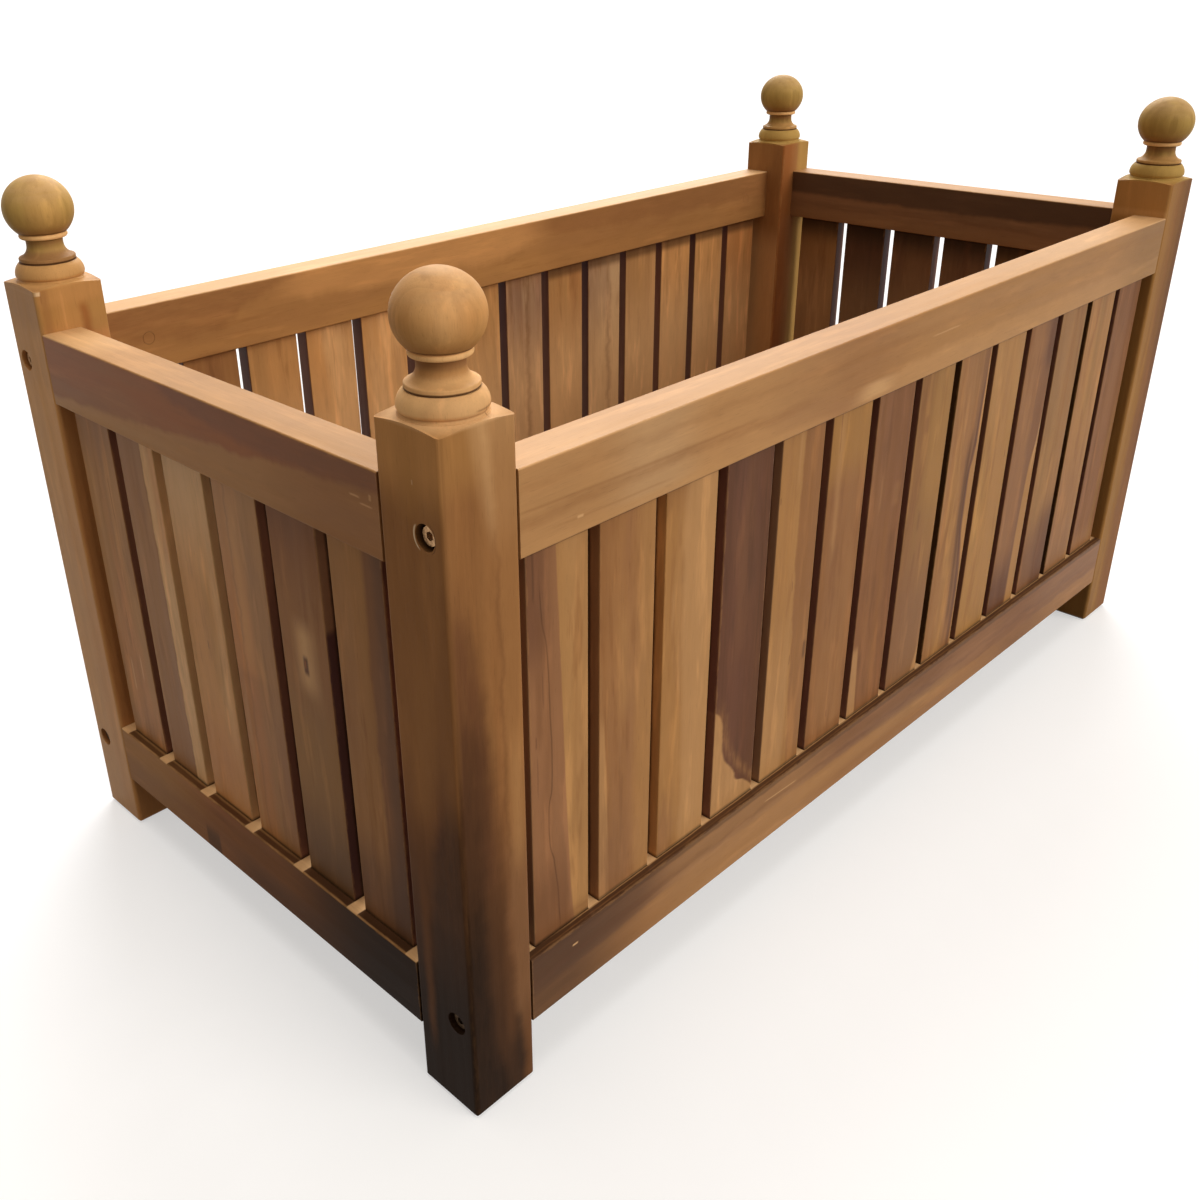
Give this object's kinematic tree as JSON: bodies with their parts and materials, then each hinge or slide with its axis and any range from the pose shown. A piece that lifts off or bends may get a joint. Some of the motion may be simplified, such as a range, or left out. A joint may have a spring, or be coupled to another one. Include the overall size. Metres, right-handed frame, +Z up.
{
  "type": "versailles planter",
  "caption": "Rectangular hardwood planter box: square posts with turned ball finials, bolted rails, vertical slatted sides with gaps, and a drained board floor.",
  "frame": {"origin": "centre of the footprint, on the ground", "axes": "+X along the long sides, +Y from the front side to the back side, +Z up"},
  "size_m": [1.2, 0.61, 0.6765],
  "materials": {
    "post_wood": "oiled hardwood, satin",
    "finial_wood": "oiled hardwood, satin, turned",
    "rail_wood": "oiled hardwood, satin",
    "slat_wood": "oiled hardwood, satin, varied boards",
    "floor_wood": "sawn and planed hardwood, matt",
    "bolt_steel": "zinc-plated steel, dulled",
    "nut_steel": "zinc-plated steel"
  },
  "bodies": {
    "root": {"post_front_left": "post_wood", "post_front_right": "post_wood", "post_back_left": "post_wood", "post_back_right": "post_wood", "finial_front_left": "finial_wood", "finial_front_right": "finial_wood", "finial_back_left": "finial_wood", "finial_back_right": "finial_wood", "rail_front_top": "rail_wood", "rail_front_bottom": "rail_wood", "rail_back_top": "rail_wood", "rail_back_bottom": "rail_wood", "rail_left_top": "rail_wood", "rail_left_bottom": "rail_wood", "rail_right_top": "rail_wood", "rail_right_bottom": "rail_wood", "slat_front_01": "slat_wood", "slat_front_02": "slat_wood", "slat_front_03": "slat_wood", "slat_front_04": "slat_wood", "slat_front_05": "slat_wood", "slat_front_06": "slat_wood", "slat_front_07": "slat_wood", "slat_front_08": "slat_wood", "slat_front_09": "slat_wood", "slat_front_10": "slat_wood", "slat_front_11": "slat_wood", "slat_front_12": "slat_wood", "slat_front_13": "slat_wood", "slat_front_14": "slat_wood", "slat_back_01": "slat_wood", "slat_back_02": "slat_wood", "slat_back_03": "slat_wood", "slat_back_04": "slat_wood", "slat_back_05": "slat_wood", "slat_back_06": "slat_wood", "slat_back_07": "slat_wood", "slat_back_08": "slat_wood", "slat_back_09": "slat_wood", "slat_back_10": "slat_wood", "slat_back_11": "slat_wood", "slat_back_12": "slat_wood", "slat_back_13": "slat_wood", "slat_back_14": "slat_wood", "slat_left_01": "slat_wood", "slat_left_02": "slat_wood", "slat_left_03": "slat_wood", "slat_left_04": "slat_wood", "slat_left_05": "slat_wood", "slat_left_06": "slat_wood", "slat_right_01": "slat_wood", "slat_right_02": "slat_wood", "slat_right_03": "slat_wood", "slat_right_04": "slat_wood", "slat_right_05": "slat_wood", "slat_right_06": "slat_wood", "connector_bolts": "bolt_steel", "cross_dowel_nuts": "nut_steel", "floor_bearers": "floor_wood", "floor_boards": "floor_wood"}
  },
  "joints": []
}
